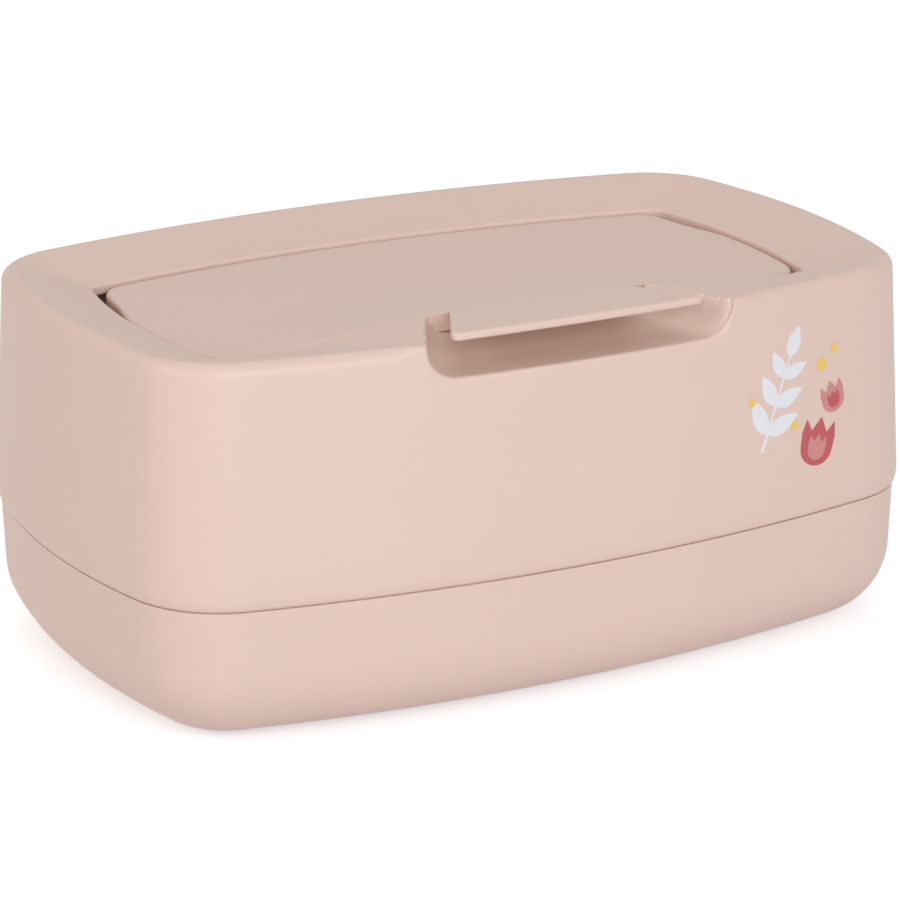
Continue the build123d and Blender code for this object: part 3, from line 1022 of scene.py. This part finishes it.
class WIPESBOX_OT_casing(bpy.types.Operator):
    """Build the casing: wall, dished top, brow, finger scoop, well, sealing rim and hinge trough"""

    bl_idname = "wipesbox.casing"
    bl_label = "Casing"

    def execute(self, context):
        casing = loft("casing", casing_rings(), close=True)
        deck = well_edge() - DECK_DROP
        casing = combine(casing, trough("trough_shell", WALL, deck - DECK_LAP, AXIS_Z + 2 * WALL), "UNION")
        relief = AXIS_Z + TROUGH_RELIEF
        casing = combine(casing, trough("trough_hollow", 0.0, relief, relief), "DIFFERENCE")
        ears, _ = ears_and_knuckles()
        for low, high in ears:
            neck_low = (low, AXIS_Y - EAR_FOOT, deck - EAR_ROOT)
            neck = block("neck", neck_low, (high, AXIS_Y + EAR_BACK, AXIS_Z), EAR_EDGE)
            casing = join(casing, bar("ear", KNUCKLE_RADIUS, low, high, KNUCKLE_EDGE), neck)
        smooth(casing, SHARP_ANGLE)
        dress(casing, shell_material())
        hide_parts("top_casing")
        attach(casing, "casing")
        return {"FINISHED"}


class WIPESBOX_OT_flap(bpy.types.Operator):
    """Build the flap with its brow, lip, snap tongue, knuckles and finger tab"""

    bl_idname = "wipesbox.flap"
    bl_label = "Flap"

    def execute(self, context):
        flap = loft("flap", flap_rings())
        flap = combine(flap, tab_piece(), "UNION")
        tongue_y = HALF_WIDTH - shape().well_inset - shape().flap_gap
        catch = block(
            "catch",
            (-CATCH_HALF, -tongue_y - CATCH_REACH, CREST - LIP_DEPTH - CATCH_DROP),
            (CATCH_HALF, -tongue_y + CATCH_LAP, CREST - LIP_DEPTH + CATCH_LAP),
            CATCH_EDGE,
        )
        flap = join(flap, catch)
        _, knuckles = ears_and_knuckles()
        for low, high in knuckles:
            web_top = flap_level() - FLAP_THICKNESS + WEB_LAP
            web = block("web", (low, AXIS_Y - WEB_HALF, AXIS_Z), (high, AXIS_Y + WEB_HALF, web_top))
            flap = join(flap, bar("knuckle", KNUCKLE_RADIUS, low, high, KNUCKLE_EDGE), web)
        smooth(flap, SHARP_ANGLE)
        dress(flap, shell_material())
        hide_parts("flap_lid")
        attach(flap, "lid")
        return {"FINISHED"}


class WIPESBOX_OT_base(bpy.types.Operator):
    """Finish the base tray, feet, seal, pins and press plate with their own materials"""

    bl_idname = "wipesbox.base"
    bl_label = "Base and small parts"

    def execute(self, context):
        dress_node("base_tray", shell_material())
        dress_node("anti_slip_feet", moulded_plastic("soft feet", (0.60, 0.57, 0.54), 0.62, 2.0, soft=0.2))
        dress_node("lid_seal", moulded_plastic("soft seal", (0.74, 0.71, 0.68), 0.55, 1.5, soft=0.2))
        dress_node("press_plate", moulded_plastic("plate plastic", (0.76, 0.73, 0.70), 0.42, 1.0, soft=0.1))
        steel = ground_steel("ground steel")
        dress_node("hinge_pin_left", steel)
        dress_node("hinge_pin_right", steel)
        return {"FINISHED"}


class WIPESBOX_OT_print(bpy.types.Operator):
    """Lay the printed sprig, tulips and berries on the front wall"""

    bl_idname = "wipesbox.print"
    bl_label = "Print"

    def execute(self, context):
        f = finish()
        white = printed_ink("white ink", tuple(f.white_ink))
        red = printed_ink("red ink", tuple(f.red_ink))
        rose = printed_ink("rose ink", tuple(f.rose_ink))
        yellow = printed_ink("yellow ink", tuple(f.yellow_ink))
        prints = self.sprig(white) + [
            print_shape("tulip_low", tulip(66.5, 49.0, -14, 10.5), red),
            print_shape("tulip_low_heart", tulip(66.9, 50.4, -14, 5.6), rose, 1),
            print_shape("tulip_high", tulip(74.2, 61.5, 16, 7.2), rose),
            print_shape("tulip_high_heart", tulip(74.0, 62.6, 16, 3.8), red, 1),
        ]
        for i, (x, z, r) in enumerate(BERRIES):
            prints.append(print_shape(f"berry_{i}", dot(x, z, r), yellow, 1))
        for obj in prints:
            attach(obj, "casing")
        return {"FINISHED"}

    def sprig(self, ink):
        """A stem with paired leaves and one at its tip, leaning to the right."""
        lean = math.radians(SPRIG_LEAN)

        def along(distance):
            return SPRIG_X + distance * math.cos(lean), SPRIG_Z + distance * math.sin(lean)

        prints = []
        for i in range(3):
            x, z = along(SPRIG_FIRST + SPRIG_STEP * i)
            for side, spread in (("left", LEAF_SPREAD), ("right", -LEAF_SPREAD)):
                points = leaf(x, z, SPRIG_LEAN + spread, 10.5 - 1.4 * i, 4.6 - 0.5 * i)
                prints.append(print_shape(f"leaf_{side}_{i}", points, ink))
        x, z = along(SPRIG_TIP)
        prints.append(print_shape("leaf_tip", leaf(x, z, SPRIG_LEAN, 8.0, 4.2), ink))
        nx, nz = -math.sin(lean) * STEM_HALF, math.cos(lean) * STEM_HALF
        stem = [
            (SPRIG_X - nx, SPRIG_Z - nz),
            (x - nx * 0.6, z - nz * 0.6),
            (x + nx * 0.6, z + nz * 0.6),
            (SPRIG_X + nx, SPRIG_Z + nz),
        ]
        prints.append(print_shape("stem", stem, ink, 1))
        return prints


# Camera fitted to the photograph: lens and sensor in millimetres, angles in degrees, distance in metres
AIM_HEIGHT = 45 * MM
CAMERA_SENSOR, CAMERA_LENS = 36.0, 149.7
CAMERA_AZIMUTH, CAMERA_ELEVATION, CAMERA_DISTANCE = -28.54, 17.94, 0.94466
# Each light's name, place and size in metres, watts and colour
SOFTBOXES = (
    ("front softbox", (-0.25, -1.5, 0.55), (1.5, 0.9), 14.1, (0.95, 1.02, 1.09)),
    ("left softbox", (-1.5, -0.2, 0.75), (0.9, 0.9), 6.0, (1.0, 0.95, 0.92)),
    ("overhead softbox", (0.2, 0.3, 1.5), (1.3, 1.3), 3.0, (1.0, 1.0, 0.98)),
)


class WIPESBOX_OT_stage(bpy.types.Operator):
    """Set up the pale floor, the soft studio light and the camera"""

    bl_idname = "wipesbox.stage"
    bl_label = "Stage"

    def execute(self, context):
        scene = context.scene
        scene.view_settings.view_transform = "Standard"
        floor = self.floor()
        self.world(scene)
        centre = Vector((0.0, 0.0, AIM_HEIGHT))
        for name, place, size, watts, colour in SOFTBOXES:
            self.softbox(name, place, centre, size, watts, colour)
        self.camera(scene, centre)
        return {"FINISHED"}

    def seen(self, n):
        """1 for rays that see the backdrop, straight or in a reflection, and 0 for those that it lights."""
        path = n.add("ShaderNodeLightPath").outputs
        share = path["Is Camera Ray"]
        for ray in ("Is Glossy Ray", "Is Transmission Ray"):
            share = n.add("ShaderNodeMath", {0: share, 1: path[ray]}, operation="MAXIMUM").outputs[0]
        return share

    def floor(self):
        bm = bmesh.new()
        bmesh.ops.create_grid(bm, x_segments=1, y_segments=1, size=6.0)
        floor = mesh_object("floor", bm)
        mat = bpy.data.materials.new("white floor")
        n = Nodes(mat)
        seen = self.seen(n)
        matte = n.add("ShaderNodeBsdfDiffuse", {"Color": (0.74, 0.74, 0.76, 1)})
        bright = n.add("ShaderNodeBsdfDiffuse", {"Color": (0.97, 0.97, 0.97, 1)})
        glow = n.add("ShaderNodeEmission", {"Color": (1, 1, 1, 1), "Strength": 0.45})
        lit = n.add("ShaderNodeAddShader", {0: bright.outputs[0], 1: glow.outputs[0]})
        both = n.add("ShaderNodeMixShader", {0: seen, 1: matte.outputs[0], 2: lit.outputs[0]})
        n.add("ShaderNodeOutputMaterial", {"Surface": both.outputs[0]})
        dress(floor, mat)
        return floor

    def world(self, scene):
        world = bpy.data.worlds.new("studio")
        scene.world = world
        n = Nodes(world)
        seen = self.seen(n)
        soft = n.add("ShaderNodeBackground", {"Color": (1.0, 0.99, 0.985, 1), "Strength": 0.41})
        white = n.add("ShaderNodeBackground", {"Color": (1, 1, 1, 1), "Strength": 1.0})
        both = n.add("ShaderNodeMixShader", {0: seen, 1: soft.outputs[0], 2: white.outputs[0]})
        n.add("ShaderNodeOutputWorld", {"Surface": both.outputs[0]})

    def softbox(self, name, place, target, size, watts, colour):
        light = bpy.data.lights.new(name, "AREA")
        light.shape = "RECTANGLE"
        light.size, light.size_y = size
        light.energy = watts
        light.color = colour
        obj = bpy.data.objects.new(name, light)
        obj.location = place
        obj.rotation_euler = (target - Vector(place)).to_track_quat("-Z", "Y").to_euler()
        bpy.context.scene.collection.objects.link(obj)

    def camera(self, scene, target):
        data = bpy.data.cameras.new("camera")
        data.sensor_width = CAMERA_SENSOR
        data.lens = CAMERA_LENS
        data.clip_start, data.clip_end = 0.05, 30.0
        camera = bpy.data.objects.new("camera", data)
        azimuth, elevation = math.radians(CAMERA_AZIMUTH), math.radians(CAMERA_ELEVATION)
        back = Vector((
            math.sin(azimuth) * math.cos(elevation),
            -math.cos(azimuth) * math.cos(elevation),
            math.sin(elevation),
        ))
        camera.location = target + back * CAMERA_DISTANCE
        camera.rotation_euler = (-back).to_track_quat("-Z", "Y").to_euler()
        scene.collection.objects.link(camera)
        scene.camera = camera


OPERATORS = (
    WIPESBOX_OT_casing,
    WIPESBOX_OT_flap,
    WIPESBOX_OT_base,
    WIPESBOX_OT_print,
    WIPESBOX_OT_stage,
)


class WIPESBOX_PT_panel(bpy.types.Panel):
    """Sizes, finish and the steps that build the box"""

    bl_idname = "WIPESBOX_PT_panel"
    bl_label = "Wipes Box"
    bl_space_type = "VIEW_3D"
    bl_region_type = "UI"
    bl_category = "Wipes Box"

    def draw(self, context):
        column = self.layout.column()
        for group in (context.scene.wipes_box_shape, context.scene.wipes_box_finish):
            for name in group.__annotations__:
                column.prop(group, name)
        for operator in OPERATORS:
            column.operator(operator.bl_idname)


CLASSES = (WipesBoxShape, WipesBoxFinish, *OPERATORS, WIPESBOX_PT_panel)


def register():
    for cls in CLASSES:
        bpy.utils.register_class(cls)
    bpy.types.Scene.wipes_box_shape = bpy.props.PointerProperty(type=WipesBoxShape)
    bpy.types.Scene.wipes_box_finish = bpy.props.PointerProperty(type=WipesBoxFinish)


def unregister():
    del bpy.types.Scene.wipes_box_finish
    del bpy.types.Scene.wipes_box_shape
    for cls in reversed(CLASSES):
        bpy.utils.unregister_class(cls)


def main():
    register()
    bpy.ops.wipesbox.casing()
    bpy.ops.wipesbox.flap()
    bpy.ops.wipesbox.base()
    bpy.ops.wipesbox.print()
    bpy.ops.wipesbox.stage()


if __name__ == "__main__":
    main()
